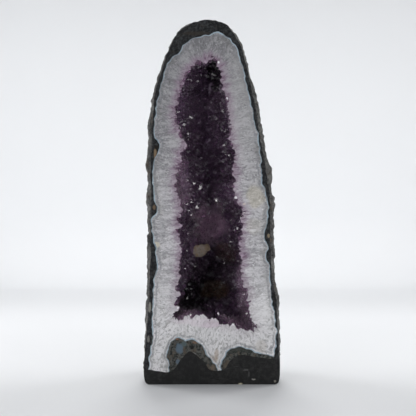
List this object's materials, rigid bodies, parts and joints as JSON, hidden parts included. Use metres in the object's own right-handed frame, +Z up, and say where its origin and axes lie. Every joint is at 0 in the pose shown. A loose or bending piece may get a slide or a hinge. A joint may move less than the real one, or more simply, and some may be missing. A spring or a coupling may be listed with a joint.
{
  "type": "amethyst geode",
  "caption": "Tall amethyst cathedral geode, sawn flat in front, with a dark basalt rind, milky quartz wall and crystal-lined hollow, on a cast cement foot.",
  "frame": {"origin": "middle of the flat underside", "axes": "+Z up along the geode's height, -Y out of the sawn face, +X to the right seen from the front"},
  "size_m": [0.1699, 0.15, 0.4542],
  "materials": {
    "cement": "smooth cast cement, charcoal, matt",
    "basalt": "dark basalt, satin where sawn, rough and pitted outside",
    "agate": "polished blue-white chalcedony",
    "quartz": "polished milky quartz, fibrous, purple towards the hollow",
    "amethyst": "glassy crystal faces, deep purple, see-through tips",
    "calcite": "tan calcite, dull and granular"
  },
  "bodies": {
    "root": {"cement_foot": "cement", "basalt_rind": "basalt", "agate_band": "agate", "quartz_wall": "quartz", "amethyst_druse": "amethyst", "calcite_lump": "calcite"}
  },
  "joints": []
}
